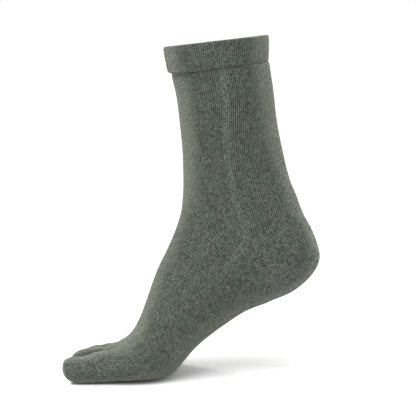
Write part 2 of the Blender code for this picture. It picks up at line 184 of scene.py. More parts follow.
ANKLE_BACK = (0.339, -0.504)
ANKLE_HALF = 0.365              # half the ankle's width, as a share of the width


def mouth_point(x, depth):
    """A point x to the back and depth below the plane of the opening."""
    return (x * REACH, x * REACH * math.tan(MOUTH_TILT) - depth / math.cos(MOUTH_TILT))


def cuff_ring(row, layer):
    """The ring of the cuff's outer layer, or of the leg inside it."""
    depth = row["depth"] * CUFF_BAND
    if layer == "leg" and row["depth"] == 0:
        depth = LEG_EDGE
    front, back = row[layer + "_front"], row[layer + "_back"]
    return leg_ring(mouth_point(front, depth), mouth_point((front + back) / 2, depth),
                    mouth_point(back, depth), row[layer + "_half"] * WIDTH)


def leg_rings():
    """The leg's rings, from its edge inside the cuff down to the ankle."""
    rings = [cuff_ring(row, "leg") for row in rows(CUFF, CUFF_COLUMNS)]
    hem = rows(CUFF, CUFF_COLUMNS)[-1]
    across = (hem["leg_front"], (hem["leg_front"] + hem["leg_back"]) / 2, hem["leg_back"])
    starts = [mouth_point(x, CUFF_BAND)[1] for x in across]
    ends = [point[1] * HEIGHT for point in (ANKLE_FRONT, ANKLE_SIDE, ANKLE_BACK)]
    for row in rows(LEG, LEG_COLUMNS):
        places = [(row[column] * REACH, start + (end - start) * row["down"])
                  for column, start, end in zip(("front", "side", "back"), starts, ends)]
        rings.append(leg_ring(*places, row["half"] * WIDTH))
    rings.append(leg_ring(at(*ANKLE_FRONT), at(*ANKLE_SIDE), at(*ANKLE_BACK), ANKLE_HALF * WIDTH))
    return rings


leg = leg_rings()
print(f"the leg has {len(leg)} rings and is {lengths(leg[0])[-1] / MM:.0f} mm round at the top")

# %% [markdown]
# ## The heel
# A knitted heel is a cup that is worked to and fro over half of the stitches, so its rows fan out from a
# point at each side of the ankle. Such a cup could be cut from a ball, but only a fan joins the leg and the
# foot without a step. So the heel is a row of half rings that share those two points.

# %% Half rings of the heel
HEEL_COLUMNS = ("back_x", "back_z", "full")
HEEL = ((*ANKLE_BACK, LEG_FULL), (0.376, -0.556, 2.1), (0.400, -0.603, 2.1), (HEEL_SHARE, -0.640, 2.1),
        (0.397, -0.673, 2.1), (0.361, -0.710, 2.2), (0.300, -0.747, 2.2), (0.211, -0.777, 2.2))
heel = []
for row in rows(HEEL, HEEL_COLUMNS):
    half_width = ANKLE_HALF * WIDTH
    curve, ridge_share = half_ring(at(*ANKLE_SIDE), at(row["back_x"], row["back_z"]),
                                   (half_width, -half_width), 0, row["full"])
    heel.append(spaced(curve, even_shares(ridge_share)))
print(f"the heel has {len(heel)} half rings")

# %% [markdown]
# ## The roots of the toes
# A toe sock's front edge isn't one opening but five, side by side along a shallow arc. Five tubes could be
# pushed into one, but the knit of a real one runs on from the foot into each toe. So each toe's section is a
# full superellipse, cut flat where it touches its neighbour, and all the upper and lower arcs together make
# the lobed ring in which the foot ends, with a notch between each two toes.

# %% The lobed ring
WEB_FRONT = (-0.432, -0.146)    # the foremost point of the toes' roots, in shares of the reach and the width
WEB_FALL = 0.240                # how fast that line falls back to its sides
FACET = COLUMNS // 64           # a toe's columns are counted in sixty-fourths of the ring
TOE_COLUMNS = ("name", "facets", "outer", "turn", "tip", "top", "sole")
TOES = (("big_toe", 9, -0.146, 0.040, -0.594, 0.0915, 0.0025),
        ("second_toe", 6, 0.047, 0.070, -0.575, 0.0855, 0.0030),
        ("third_toe", 6, 0.224, 0.090, -0.538, 0.0800, 0.0030),
        ("fourth_toe", 5, 0.375, 0.110, -0.489, 0.0730, 0.0030),
        ("little_toe", 6, 0.521, 0.080, -0.428, 0.0645, 0.0030))
FIRST_TURN = -0.010             # the big toe's free side leans outwards
FREE_SIDE = -0.443              # where that side starts, as a share of the width
TOE_FULL = 2.4                  # the fullness of a toe's section
TOE_CLIP = 0.96                 # where that section is cut flat against its neighbour
NOTCH = 10                      # points on each side of a notch over which two toes' heights even out


def web_x(y):
    """The x of the line where the toes begin."""
    across = y / WIDTH - WEB_FRONT[1]
    return (WEB_FRONT[0] + WEB_FALL * across * across) * REACH


def toe_arc(centre, half, clips, top_z, sole_z, count, upper):
    """The upper or lower arc of a toe's section between its flat sides, as (y, z) points."""
    start, end = [math.acos(clip ** (TOE_FULL / 2)) for clip in clips]
    angle = np.linspace(-math.pi + start, -end, FINE)
    across = np.sign(np.cos(angle)) * np.abs(np.cos(angle)) ** (2 / TOE_FULL)
    lift = np.abs(np.sin(angle)) ** (2 / TOE_FULL) * (top_z - sole_z) / 2 * (1 if upper else -1)
    curve = np.stack([np.zeros(FINE), centre + half * across, (top_z + sole_z) / 2 + lift], axis=1)
    return spaced(curve, np.linspace(0, 1, count + 1))[:, 1:]


def toe_roots():
    """Each toe's sides, centre, half width and heights at its root, and its columns in the lobed ring."""
    roots, inner, turn, place = [], FREE_SIDE * WIDTH, FIRST_TURN, 0
    for number, row in enumerate(rows(TOES, TOE_COLUMNS)):
        outer = row["outer"] * WIDTH
        clips = (TOE_CLIP if number > 0 else 1.0, TOE_CLIP if number < len(TOES) - 1 else 1.0)
        half = (outer - inner) / sum(clips)
        count = row["facets"] * FACET
        roots.append(dict(row, number=number, sides=(inner, outer), turns=(turn, row["turn"]), clips=clips,
                          half=half, centre=inner + half * clips[0], place=place, count=count,
                          top_z=FLOOR + row["top"] * HEIGHT, sole_z=FLOOR + row["sole"] * HEIGHT))
        inner, turn, place = outer, row["turn"], place + count
    return roots


def lobed_ring():
    """The foot's front edge, from the big toe's side over the top to the little toe's side and back below."""
    edges = []
    for upper in (True, False):
        edge = []
        for root in toe_roots():
            arc = toe_arc(root["centre"], root["half"], root["clips"], root["top_z"], root["sole_z"],
                          root["count"], upper)
            if edge:
                gap = (edge[-1][-1] - arc[0]) / 2
                fade = np.clip(1 - np.arange(len(arc)) / NOTCH, 0, 1)[:, None] ** 2
                back = np.clip(1 - np.arange(len(edge[-1])) / NOTCH, 0, 1)[::-1, None] ** 2
                arc = arc + gap * fade
                edge[-1] = edge[-1] - gap * back
            edge.append(arc)
        edges.append(np.concatenate([arc if n == 0 else arc[1:] for n, arc in enumerate(edge)]))
    points = np.concatenate([edges[0], edges[1][::-1][1:-1]])
    return np.stack([web_x(points[:, 0]), points[:, 0], points[:, 1]], axis=1)


lobes = lobed_ring()
print(f"the toes' roots are {(lobes[:, 1].max() - lobes[:, 1].min()) / MM:.0f} mm across")

# %% [markdown]
# ## The foot
# The foot runs from the ankle to the toes' roots. Flat rings would cross each other in the arch, so these
# bend at their sides, because the sock stands on tiptoe and the instep and the sole are at unlike angles.
# From ring to ring the points move from even distances to the distances of the toes' own columns, and the
# last rings take on more and more of the notches.

# %% Rings of the foot
FOOT_COLUMNS = ("top_x", "top_z", "side_x", "side_z", "sole_x", "sole_z",
                "medial", "lateral", "ridge", "top_full", "sole_full", "web", "dent")
BALL_RING = 8                   # the row of the table in which the ball is widest
FOOT = (
    (*ANKLE_FRONT, *ANKLE_SIDE, *HEEL[-1][:2], ANKLE_HALF, ANKLE_HALF, 0.000, 2.1, 2.2, 0.00, 0.00),
    (-0.164, -0.571, 0.040, -0.645, 0.121, -0.804, 0.360, 0.370, -0.010, 2.1, 2.2, 0.00, 0.00),
    (-0.196, -0.626, -0.031, -0.703, 0.048, -0.839, 0.355, 0.390, -0.020, 2.1, 2.3, 0.00, 0.00),
    (-0.229, -0.678, -0.094, -0.756, -0.020, -0.877, 0.360, 0.420, -0.030, 2.1, 2.3, 0.00, 0.00),
    (-0.255, -0.731, -0.149, -0.802, -0.078, -0.914, 0.378, 0.450, -0.045, 2.1, 2.4, 0.00, 0.00),
    (-0.276, -0.777, -0.197, -0.845, -0.124, -0.954, 0.400, 0.482, -0.065, 2.1, 2.5, 0.05, 0.00),
    (-0.298, -0.820, -0.241, -0.888, -0.169, -0.990, 0.425, 0.507, -0.090, 2.1, 2.7, 0.15, 0.00),
    (-0.324, -0.858, -0.282, -0.919, -0.225, -1.000, 0.445, 0.525, -0.120, 2.1, 3.0, 0.30, 0.00),
    (-0.356, -0.884, -0.329, -0.939, -0.295, -1.000, *BALL_SHARES, -0.155, 2.1, 3.2, 0.50, 0.06),
    (-0.394, -0.900, -0.383, -0.952, -0.370, -1.000, 0.448, 0.535, -0.185, 2.1, 3.2, 0.75, 0.35),
    (-0.428, -0.908, -0.428, -0.961, -0.428, -0.997, 0.443, 0.521, -0.210, 2.1, 3.2, 1.00, 1.00))


def foot_rings():
    """The foot's rings, from the ankle to the lobed ring."""
    toe_top = lengths(lobes[:HALF + 1])
    toe_sole = lengths(np.concatenate([lobes[HALF:], lobes[:1]]))
    table = rows(FOOT, FOOT_COLUMNS)
    smooth = []
    for number, row in enumerate(table):
        turn = number / (len(table) - 1)
        side = at(row["side_x"], row["side_z"])
        widths = (-row["medial"] * WIDTH, row["lateral"] * WIDTH)
        top_at, sole_at = at(row["top_x"], row["top_z"]), at(row["sole_x"], row["sole_z"])
        over, over_ridge = half_ring(side, top_at, widths, row["ridge"] * WIDTH, row["top_full"])
        under, under_ridge = half_ring(side, sole_at, widths[::-1], 0, row["sole_full"])
        top = spaced(over, (1 - turn) * even_shares(over_ridge) + turn * toe_top / toe_top[-1])
        sole = spaced(under, (1 - turn) * even_shares(under_ridge) + turn * toe_sole / toe_sole[-1])
        ring = np.concatenate([top, sole[1:-1]])
        ring[:, 0] += row["web"] * (web_x(ring[:, 1]) - WEB_FRONT[0] * REACH)
        smooth.append(ring)
    dents = lobes - smooth[-1]
    return [ring + row["dent"] * dents for ring, row in zip(smooth, table)]


foot = foot_rings()
ball = foot[BALL_RING][:, 1]
print(f"the foot has {len(foot)} rings, and its ball is {(ball.max() - ball.min()) / MM:.0f} mm wide")

# %% [markdown]
# ## The toes
# Each toe is a blind tube. It could be a stretched ball, but a toe is flatter below than above. So a table
# says how its half width, its top and its sole change along its length, and the last ring folds flat into a
# short line, as the tip of a knitted toe is linked shut. Between neighbours lie flat sides, as extra points.

# %% Rings of a toe
TOE_GAP = 0.6 * MM              # between two toes that lie side by side
WALL = 16                       # columns in the flat side where two toes touch
PROFILE_COLUMNS = ("along", "half", "top", "sole")
BIG_TOE_PROFILE = ((0.20, 0.99, 0.950, 0.005), (0.36, 0.98, 0.875, 0.000), (0.54, 0.98, 0.805, 0.000),
                   (0.74, 0.98, 0.795, 0.030), (0.88, 0.89, 0.770, 0.150), (0.96, 0.64, 0.700, 0.360),
                   (0.99, 0.37, 0.620, 0.520))
SMALL_TOE_PROFILE = ((0.20, 1.00, 0.990, 0.005), (0.38, 1.00, 0.965, 0.000), (0.55, 0.995, 0.950, 0.000),
                     (0.72, 0.97, 0.900, 0.020), (0.86, 0.84, 0.810, 0.100), (0.95, 0.58, 0.690, 0.240),
                     (0.99, 0.32, 0.580, 0.360))


def wall_points(start, end):
    """The points between the ends of an upper and a lower arc, in a toe's flat side."""
    steps = np.linspace(0, 1, WALL + 1)[1:-1, None]
    return start + (end - start) * steps


def toe_ring(over, under, walled):
    """A toe's ring: its left side, its upper arc, its right side and its lower arc."""
    left = [wall_points(under[0], over[0])] if walled[0] else []
    right = [wall_points(over[-1], under[-1])] if walled[1] else []
    below = under[::-1] if walled[1] else under[::-1][1:]
    below = below if walled[0] else below[:-1]
    return np.concatenate([*left, over, *right, below])


def toe_rings(root):
    """A toe's rings from its root in the lobed ring to the line in which its tip is closed."""
    walled = [clip < 1 for clip in root["clips"]]
    index = np.arange(root["place"], root["place"] + root["count"] + 1)
    rings = [toe_ring(lobes[index], lobes[-index % COLUMNS], walled)]
    start_x, tip_x = web_x(root["centre"]), root["tip"] * REACH
    profile = BIG_TOE_PROFILE if root["number"] == 0 else SMALL_TOE_PROFILE
    for row in rows(profile, PROFILE_COLUMNS):
        centre_x = start_x + (tip_x - start_x) * row["along"]
        bend = max(0.0, 1 - 2 * row["along"]) ** 2
        edges = []
        for wall_y, turn, sign, flat in zip(root["sides"], root["turns"], (1, -1), walled):
            wall_x = centre_x + (web_x(wall_y) - start_x) * bend
            edges.append(wall_y - turn * (web_x(wall_y) - wall_x) + sign * TOE_GAP / 2 * flat)
        half = (edges[1] - edges[0]) / sum(root["clips"])
        centre = edges[0] + half * root["clips"][0]
        top_z = FLOOR + (root["top_z"] - FLOOR) * row["top"]
        sole_z = FLOOR + (top_z - FLOOR) * row["sole"]
        arcs = []
        for upper in (True, False):
            arc = toe_arc(centre, half * row["half"], root["clips"], top_z, sole_z, root["count"], upper)
            x = centre_x + (web_x(arc[:, 0]) - start_x) * bend
            arcs.append(np.stack([x, arc[:, 0], arc[:, 1]], axis=1))
        rings.append(toe_ring(*arcs, walled))
    middle = WALL // 2 - 1 if walled[0] else 0
    mirrored = (2 * middle - np.arange(len(rings[-1]))) % len(rings[-1])
    closing = (rings[-1] + rings[-1][mirrored]) / 2
    closing[:, 0] = tip_x
    return rings + [closing]


toes = [toe_rings(root) for root in toe_roots()]
for root, rings in zip(toe_roots(), toes):
    print(f"{root['name']} has {len(rings[0]) // WALE} columns of stitches")

# %% [markdown]
# ## One smooth skin over all the rings
# Straight lines between the rings would show as facets. Each column of points therefore runs along a cubic
# curve through the rings. Where two parts of the sock meet, both use the same direction across the border, so
# that the skin has no crease there. At the ankle's sides, where leg, heel and foot meet in one point, the
# directions of neighbouring columns are evened out first.

# %% Curves along the columns
EVEN_PASSES = 240               # how often directions are averaged with their neighbours


def direction(before, here, after):
    """The direction in which the columns cross a ring, for each metre along them."""
    along = np.linalg.norm(here - before, axis=-1) + np.linalg.norm(after - here, axis=-1)
    return (after - before) / np.maximum(along, TINY)[..., None]


def evened(vectors):
    """Vectors round a ring, each averaged with its neighbours."""
    for _ in range(EVEN_PASSES):
        vectors = (np.roll(vectors, 1, axis=0) + 2 * vectors + np.roll(vectors, -1, axis=0)) / 4
    return vectors


def lofted(rings, start, end, places):
    """Points on cubic curves through the rings. Places are counted in rings, for each column or for all."""
    rings = np.array(rings)
    ways = np.concatenate([start[None], direction(rings[:-2], rings[1:-1], rings[2:]), end[None]])
    count = len(places)
    places = np.broadcast_to(np.asarray(places, float).reshape(count, -1), (count, rings.shape[1]))
    which = np.clip(places.astype(int), 0, len(rings) - 2)
    column = np.arange(rings.shape[1])[None]
    t = (places - which)[..., None]
    last, following = rings[which, column], rings[which + 1, column]
    length = np.linalg.norm(following - last, axis=-1)[..., None]
    straight = last * (2 * t**3 - 3 * t**2 + 1) + following * (3 * t**2 - 2 * t**3)
    return (straight + ways[which, column] * length * (t**3 - 2 * t**2 + t)
            + ways[which + 1, column] * length * (t**3 - t**2))


def even_places(rings, step):
    """Places, counted in rings, that lie about a step apart."""
    gaps = [np.linalg.norm(b - a, axis=1).mean() for a, b in zip(rings, rings[1:])]
    counts = [max(2, round(gap / step)) for gap in gaps]
    return np.concatenate([n + np.arange(count) / count for n, count in enumerate(counts)] + [[len(gaps)]])


back = np.arange(HALF, COLUMNS + 1) % COLUMNS
under_ankle = foot[1].copy()
under_ankle[back[1:-1]] = heel[1][1:-1]
at_ankle = evened(direction(leg[-2], leg[-1], under_ankle))
over_foot = leg[-2].copy()
over_foot[back[1:-1]] = heel[-2][1:-1]
at_foot = evened(direction(over_foot, foot[0], foot[1]))
print(f"{len(at_ankle)} columns cross the ankle's two borders")

# %% [markdown]
# The foot's last ring needs to know where the toes go from it, and each toe where the foot came from. A point
# in a notch belongs to two toes, and takes the average of both.

# %% Directions at the toes' roots
ahead = np.zeros_like(lobes)
shared = np.zeros(COLUMNS)
arcs_of = []
for root, rings in zip(toe_roots(), toes):
    index = np.arange(root["place"], root["place"] + root["count"] + 1)
    start = WALL - 1 if root["clips"][0] < 1 else 0
    over = start + np.arange(root["count"] + 1)
    under = -over + 2 * (start // 2 if start else 0)
    arcs_of.append((index, over, under % len(rings[0])))
    for ring_index, toe_index in ((index, over), (-index % COLUMNS, arcs_of[-1][2])):
        fresh = np.unique(ring_index, return_index=True)[1]
        ahead[ring_index[fresh]] += rings[1][toe_index[fresh]]
        shared[ring_index[fresh]] += 1
ahead /= shared[:, None]
at_roots = direction(foot[-2], lobes, ahead)
print(f"the toes reach {(lobes[:, 0].mean() - ahead[:, 0].mean()) / MM:.0f} mm on to their next rings")

# %% [markdown]
# ## From rings to panels of knit
# Each part of the sock starts as a flat grid, as a knitter's panel lies on the table, with three faces across
# each column of stitches. Its points are then moved onto the curves, which keeps the grid's own tidy UV map.
# A second map counts columns and rows of stitches, and the finishes below draw their stitches on it.

# %% Panels
ROW_STEP = 2.0 * MM             # between two rows of points
TOE_STEP = 1.3 * MM             # the same in a toe
COURSE = 1.15 * MM              # height of one row of stitches
LEVELS = 8                      # steps of the weights in a vertex group
MAP_HALF = 0.495                # where two surfaces share a map, each fills a little less than half


def only(*pieces):
    """Selects these pieces and nothing else."""
    bpy.ops.object.select_all(action="DESELECT")
    for piece in pieces:
        piece.select_set(True)
    bpy.context.view_layer.objects.active = pieces[0]


def group_of(piece, name, weights):
    """A vertex group with a weight for each vertex, in a few levels."""
    group = piece.vertex_groups.new(name=name)
    for level in np.unique(weights):
        if level > 0:
            group.add(np.nonzero(weights == level)[0].tolist(), float(level), "REPLACE")


def panel(name, points, wales, courses, soft, ribbed=True):
    """A grid whose points lie at the given places, with the maps and groups that the finish needs."""
    count_up, count_across = points.shape[:2]
    bpy.ops.object.select_all(action="DESELECT")
    bpy.ops.mesh.primitive_grid_add(x_subdivisions=count_across - 1, y_subdivisions=count_up - 1, size=1)
    piece = bpy.context.object
    piece.name = name
    mesh = piece.data
    mesh.vertices.foreach_set("co", points.reshape(-1))
    mesh.uv_layers[0].name = "OFBake"
    corners = np.zeros(len(mesh.loops), int)
    mesh.loops.foreach_get("vertex_index", corners)
    knit = mesh.uv_layers.new(name="knit")
    knit.uv.foreach_set("vector", np.stack([wales, courses], axis=-1).reshape(-1, 2)[corners].reshape(-1))
    ribs = (1 + np.cos(2 * math.pi * wales)) / 2 * ribbed
    group_of(piece, "rib", np.round(ribs.reshape(-1) * LEVELS) / LEVELS)
    group_of(piece, "soft", np.round(soft.reshape(-1) * LEVELS) / LEVELS)
    return piece


def squeeze_map(piece, corners, axis, start, share):
    """Squeezes some corners of a piece's own map along one axis, so that they fill only a share of it."""
    layer = piece.data.uv_layers["OFBake"]
    places = np.zeros(len(piece.data.loops) * 2)
    layer.uv.foreach_get("vector", places)
    places = places.reshape(-1, 2)
    places[corners, axis] = start + places[corners, axis] * share
    layer.uv.foreach_set("vector", places.reshape(-1))


def closed_round(rings, first):
    """Rings turned so that they start at a given column, which is repeated at their end."""
    turned = np.roll(rings, -first, axis=1)
    return np.concatenate([turned, turned[:, :1]], axis=1)


def near(points, place, radius):
    """A weight that falls off with the distance from a place."""
    return np.exp(-(np.linalg.norm(points - place, axis=-1) / radius) ** 2)


def course_rows(points):
    """The row of stitches that each row of points lies on, counted from the first."""
    steps = np.linalg.norm(np.diff(points, axis=0), axis=-1).mean(axis=1)
    return np.concatenate([[0], np.cumsum(steps)]) / COURSE


# %% [markdown]
# ## The leg and the foot
# Both are closed tubes. Their panels are joined up behind the leg and under the sole, where nobody looks.
# The knit is softened round the two points at the ankle's sides and along the toes' roots, where the yarn in
# a real sock evens out every corner.

# %% Make the leg and the foot
SEAM = 3 * QUARTER              # the column behind the leg and under the sole
ANKLE_SOFT = 9.0 * MM           # how far the softening reaches at the ankle's sides
TOES_SOFT = (8.5, 10.0)         # the rings of the foot between which it sets in towards the toes
TURN = 15                       # columns by which the side stripe sinks towards the sole
TURN_RINGS = 3.5                # the rings of the foot over which it sinks
sides = [leg[-1][0], leg[-1][HALF]]
leg_places = even_places(leg, ROW_STEP)
leg_points = closed_round(lofted(leg, direction(leg[0], leg[0], leg[1]), at_ankle, leg_places), SEAM)
leg_courses = course_rows(leg_points)
round_columns = SEAM + np.arange(COLUMNS + 1)


def tube_panel(name, points, courses, soft, turn=0.0):
    """A closed tube's panel. Its side stripes may turn towards the sole."""
    columns = round_columns + turn * np.cos(round_columns / HALF * math.pi) * np.ones((len(points), 1))
    return panel(name, points, columns / WALE, np.broadcast_to(courses[:, None], points.shape[:2]), soft)


panels = {}
panels["leg"] = tube_panel("leg", leg_points, leg_courses,
                           sum(near(leg_points, side, ANKLE_SOFT) for side in sides))
foot_places = even_places(foot, ROW_STEP)
foot_points = closed_round(lofted(foot, at_foot, at_roots, foot_places), SEAM)
foot_courses = leg_courses[-1] + course_rows(foot_points)
to_toes = np.clip((foot_places - TOES_SOFT[0]) / (TOES_SOFT[1] - TOES_SOFT[0]), 0, 1)[:, None]
foot_soft = np.clip(sum(near(foot_points, side, ANKLE_SOFT) for side in sides) + to_toes, 0, 1)
turned = np.clip(foot_places / TURN_RINGS, 0, 1)[:, None]
turned = TURN * turned * turned * (3 - 2 * turned)
panels["foot"] = tube_panel("foot", foot_points, foot_courses, foot_soft, turned)
for name, piece in panels.items():
    print(f"{name}: {len(piece.data.polygons)} faces")

# %% [markdown]
# ## The turned heel
# The heel is worked in two halves that meet in a slanting line, the gore, on each side. Above it the columns
# of stitches come down from the leg, and below it they run on to the sole. One panel would let them run
# straight on. Two panels with a common border along that line let the stitches turn there. The border starts
# steep at the ankle and flattens towards the back.

# %% Make the heel
GORE_BACK = 3.95 / 7            # the gore's place in the fan, behind the heel
GORE_RISE = 2.75 / 7            # how much further down the fan it starts at the ankle
GORE_CURVE = 1.7                # how soon the gore flattens
FAN = math.radians(93)          # the angle between the fan's first and last row, seen from the side
PULL = 2.0                      # how evenly the columns spread towards the middle of the heel
HEEL_ROWS = 22                  # rows of faces in each half of the heel
last = len(heel) - 1
across = np.linspace(0, 1, HALF + 1)
from_side = 2 * np.minimum(across, 1 - across)
gore = (GORE_BACK + GORE_RISE * (1 - from_side) ** GORE_CURVE) * last
for part, name in enumerate(("heel_above", "heel_below")):
    to_gore = np.linspace(0, 1, HEEL_ROWS + 1)[:, None] * np.ones_like(across)
    places = to_gore * gore if part == 0 else gore + (last - gore) * to_gore
    points = lofted(heel, at_ankle[back], at_foot[back], places)
    points[:, 0], points[:, -1] = sides[1], sides[0]
    share = places / last if part == 0 else 1 - places / last
    angle = share * FAN
    squeeze = np.cos(angle)
    spread = across * squeeze + (1 - squeeze) * across * from_side ** PULL
    mirrored = 1 - ((1 - across) * squeeze + (1 - squeeze) * (1 - across) * from_side ** PULL)
    wales = (1 + np.where(across < 0.5, spread, mirrored)) * HALF / WALE
    steps = np.linalg.norm(np.diff(points, axis=0), axis=-1)
    zero = np.zeros((1, len(across)))
    away = np.concatenate([zero, np.cumsum(steps, axis=0)])
    away = away if part == 0 else away[-1] - away
    away = away * np.sinc(angle / math.pi)
    courses = leg_courses[-1] + away / COURSE * (1 if part == 0 else -1)
    soft = np.clip(sum(near(points, side, ANKLE_SOFT) for side in sides), 0, 1)
    panels[name] = panel(name, points, wales, courses, soft, ribbed=False)
    squeeze_map(panels[name], slice(None), 1, part * (1 - MAP_HALF), MAP_HALF)
    print(f"{name}: {len(panels[name].data.polygons)} faces")

# %% [markdown]
# ## Five toes
# The toes of a real toe sock are knitted one after the other. Here one loop makes them all, from the same
# table. Each toe's panel is closed up in one of its hidden flat sides. Round its root the knit is softened
# like the foot's front edge, so the notch between two toes is a small saddle and not a crease.

# %% Make the toes
ROOT_SOFT = 1.5                 # the rings of a toe over which the softening fades out
for root, rings, (index, over, under) in zip(toe_roots(), toes, arcs_of):
    count_round = len(rings[0])
    start = direction(rings[0], rings[0], rings[1])
    start[over], start[under] = at_roots[index], at_roots[-index % COLUMNS]
    places = even_places(rings, TOE_STEP)
    points = lofted(rings, start, direction(rings[-2], rings[-1], rings[-1]), places)
    seam = root["count"] + WALL // 2 if root["clips"][0] == 1 else WALL // 2 - 1
    points = closed_round(points, seam)
    courses = np.broadcast_to((foot_courses[-1] + course_rows(points))[:, None], points.shape[:2])
    columns = root["place"] - over[0] + seam + np.arange(count_round + 1)
    wales = np.broadcast_to(columns / WALE, points.shape[:2])
    soft = np.broadcast_to(np.clip(ROOT_SOFT - places, 0, 1)[:, None], points.shape[:2])
    panels[root["name"]] = panel(root["name"], points, wales, courses, soft)
    print(f"{root['name']}: {len(panels[root['name']].data.polygons)} faces")

# %% [markdown]
# ## One skin for all the panels
# The leg, the heel, the foot and the toes of a sock are knitted in one go, with no seam between them. So the
# panels are sewn into one skin, by joining them and merging the points that lie on each other. They could be
# smoothed one by one, but then each border would show as a crease. On one skin the smoothing works across the
# borders, and the ribs rise along the skin's own normals. A material for each piece marks its faces.

# %% Join, soften and raise the ribs
MERGE = 2e-6                    # points closer than this, in metres, are one
SOFT_PASSES = 14                # how often the soft places are smoothed
RIB = 0.16 * MM                 # height of a column of stitches
NODE_OF = {name: "heel" if name.startswith("heel") else name for name in panels}
for name, piece in panels.items():
    mark = bpy.data.materials.get(NODE_OF[name]) or bpy.data.materials.new(NODE_OF[name])
    piece.data.materials.append(mark)


def sew(piece):
    """Merges the points of a piece that lie on each other, and turns its faces outwards."""
    only(piece)
    bpy.ops.object.mode_set(mode="EDIT")
    bpy.ops.mesh.select_all(action="SELECT")
    bpy.ops.mesh.remove_doubles(threshold=MERGE)
    bpy.ops.mesh.normals_make_consistent(inside=False)
    bpy.ops.object.mode_set(mode="OBJECT")


def apply(piece, kind, **settings):
    """Adds a modifier and applies it at once."""
    only(piece)
    modifier = piece.modifiers.new(kind.lower(), kind)
    for setting, value in settings.items():
        setattr(modifier, setting, value)
    bpy.ops.object.modifier_apply(modifier=modifier.name)


only(*panels.values())
bpy.ops.object.join()
skin = bpy.context.object
skin.name = "skin"
sew(skin)
apply(skin, "SMOOTH", vertex_group="soft", factor=0.5, iterations=SOFT_PASSES)
apply(skin, "DISPLACE", vertex_group="rib", mid_level=0.0, strength=RIB)
bpy.ops.object.shade_smooth()
print(f"the skin has {len(skin.data.polygons)} faces")

# %% [markdown]
# ## Separate pieces, as thick as the knit
# The marks let the finished skin come apart again into the pieces that the solids have. The knit is about a
# millimetre thick. Solidify adds that thickness on the inner side, because the skin is already the sock's
# outside. The cut edges bend the shading of the faces beside them, so each piece takes its shading from a
# copy of the whole skin, and no line shows where two pieces meet.

# %% Separate and thicken the pieces
only(skin)
bpy.ops.object.duplicate()
template = bpy.context.object
template.name = "template"
only(skin)
bpy.ops.mesh.separate(type="MATERIAL")
pieces = {}
for piece in bpy.context.selected_objects:
    node = piece.data.materials[0].name
    piece.name = node + "_knit"
    pieces[node] = piece


def thicken(piece, thickness):
    """Gives a skin its thickness inwards, and its outside and its inside each their half of the map."""
    outside, points = len(piece.data.polygons), len(piece.data.vertices)
    apply(piece, "SOLIDIFY", thickness=thickness, offset=-1.0, use_even_offset=False)
    piece.vertex_groups.new(name="outside").add(list(range(points)), 1.0, "REPLACE")
    corners = sum(len(face.vertices) for face in piece.data.polygons[:outside])
    squeeze_map(piece, slice(0, corners), 0, 0, MAP_HALF)
    squeeze_map(piece, slice(corners, 2 * corners), 0, 1 - MAP_HALF, MAP_HALF)


def smooth_borders(piece, template):
    """Shades a piece's outside with the whole skin's normals, so that no border between two pieces shows."""
    apply(piece, "DATA_TRANSFER", object=template, use_loop_data=True, data_types_loops={"CUSTOM_NORMAL"},
          loop_mapping="NEAREST_POLYNOR", vertex_group="outside")


for node, piece in pieces.items():
    thicken(piece, KNIT)
    smooth_borders(piece, template)
    print(f"{piece.name}: {len(piece.data.polygons)} faces")
bpy.data.objects.remove(template)

# %% [markdown]
# ## The cuff
# The top of the sock is folded over and caught down, which makes a welt of double knit. A plain band would
# miss its fold and its hem. So it is drawn as one line that starts inside the leg, comes up, rounds the fold,
# runs down outside and curls in at the hem. The hem sags a little between the front and the big toe's side,
# and on the opposite side.

# %% Make the cuff
CUFF_TUCK = 6.0 * MM
LIFT = 1.8 * MM                 # from the leg's edge up to the welt's crest
INSIDE = 2.7 * MM               # from the leg's outside in to the welt's inside
ROUND = 1.5 * MM                # the fold's rounding
LIPS = (2.0 * MM, 0.5 * MM)     # the radius in which the hem curls in, in front and behind
CURL = 0.29                     # how far into its curl, as a share, the hem's middle point lies
TUCK = (0.3, 1.4)               # the height and depth of the curl's end, in radii of the hem
CORNERS = (0.35, 0.3)           # how far the fold's corners stand out and down, in roundings
SAG = 1.1 * MM
CUFF_STEP = 1.2 * MM            # between two rows of points
CUFF_RIB = 0.26 * MM            # height of a column of stitches
CUFF_LAYER = 0.6 * KNIT         # the welt's layers are finer
up = np.array([-math.sin(MOUTH_TILT), 0, math.cos(MOUTH_TILT)])


def unit(vectors):
    """The same directions with a length of one."""
    return vectors / np.linalg.norm(vectors, axis=1, keepdims=True)


outer = [cuff_ring(row, "outer") for row in rows(CUFF, CUFF_COLUMNS)]
tangent = np.roll(leg[0], -1, axis=0) - np.roll(leg[0], 1, axis=0)
out = -unit(np.cross(tangent, up))
inner = leg[0] + up * LIFT - out * INSIDE
along = unit(leg[1] - leg[0])
turns = np.arange(COLUMNS)[:, None] / HALF * math.pi
sag = SAG * np.cos(turns - math.pi / 4) ** 2
fall = unit(outer[2] - outer[1])
lip = LIPS[1] + (LIPS[0] - LIPS[1]) * (1 + np.sin(turns)) / 2
corner = (out * CORNERS[0], up * CORNERS[1])
cuff = [inner + along * CUFF_TUCK, inner + along * (CUFF_TUCK / 2), inner + along * ROUND,
        inner + (corner[0] - corner[1]) * ROUND, (inner + outer[0]) / 2,
        outer[0] - (corner[0] + corner[1]) * ROUND, outer[0] - up * ROUND,
        outer[1], outer[2] + fall * (sag - lip),
        outer[2] + fall * (sag - lip * CURL) - out * lip * CURL,
        outer[2] + fall * sag - out * lip,
        outer[2] + fall * (sag - lip * TUCK[0]) - out * lip * TUCK[1]]
start, end = direction(cuff[0], cuff[0], cuff[1]), direction(cuff[-2], cuff[-1], cuff[-1])
cuff_points = closed_round(lofted(cuff, start, end, even_places(cuff, CUFF_STEP)), SEAM)
no_softening = np.zeros(cuff_points.shape[:2])
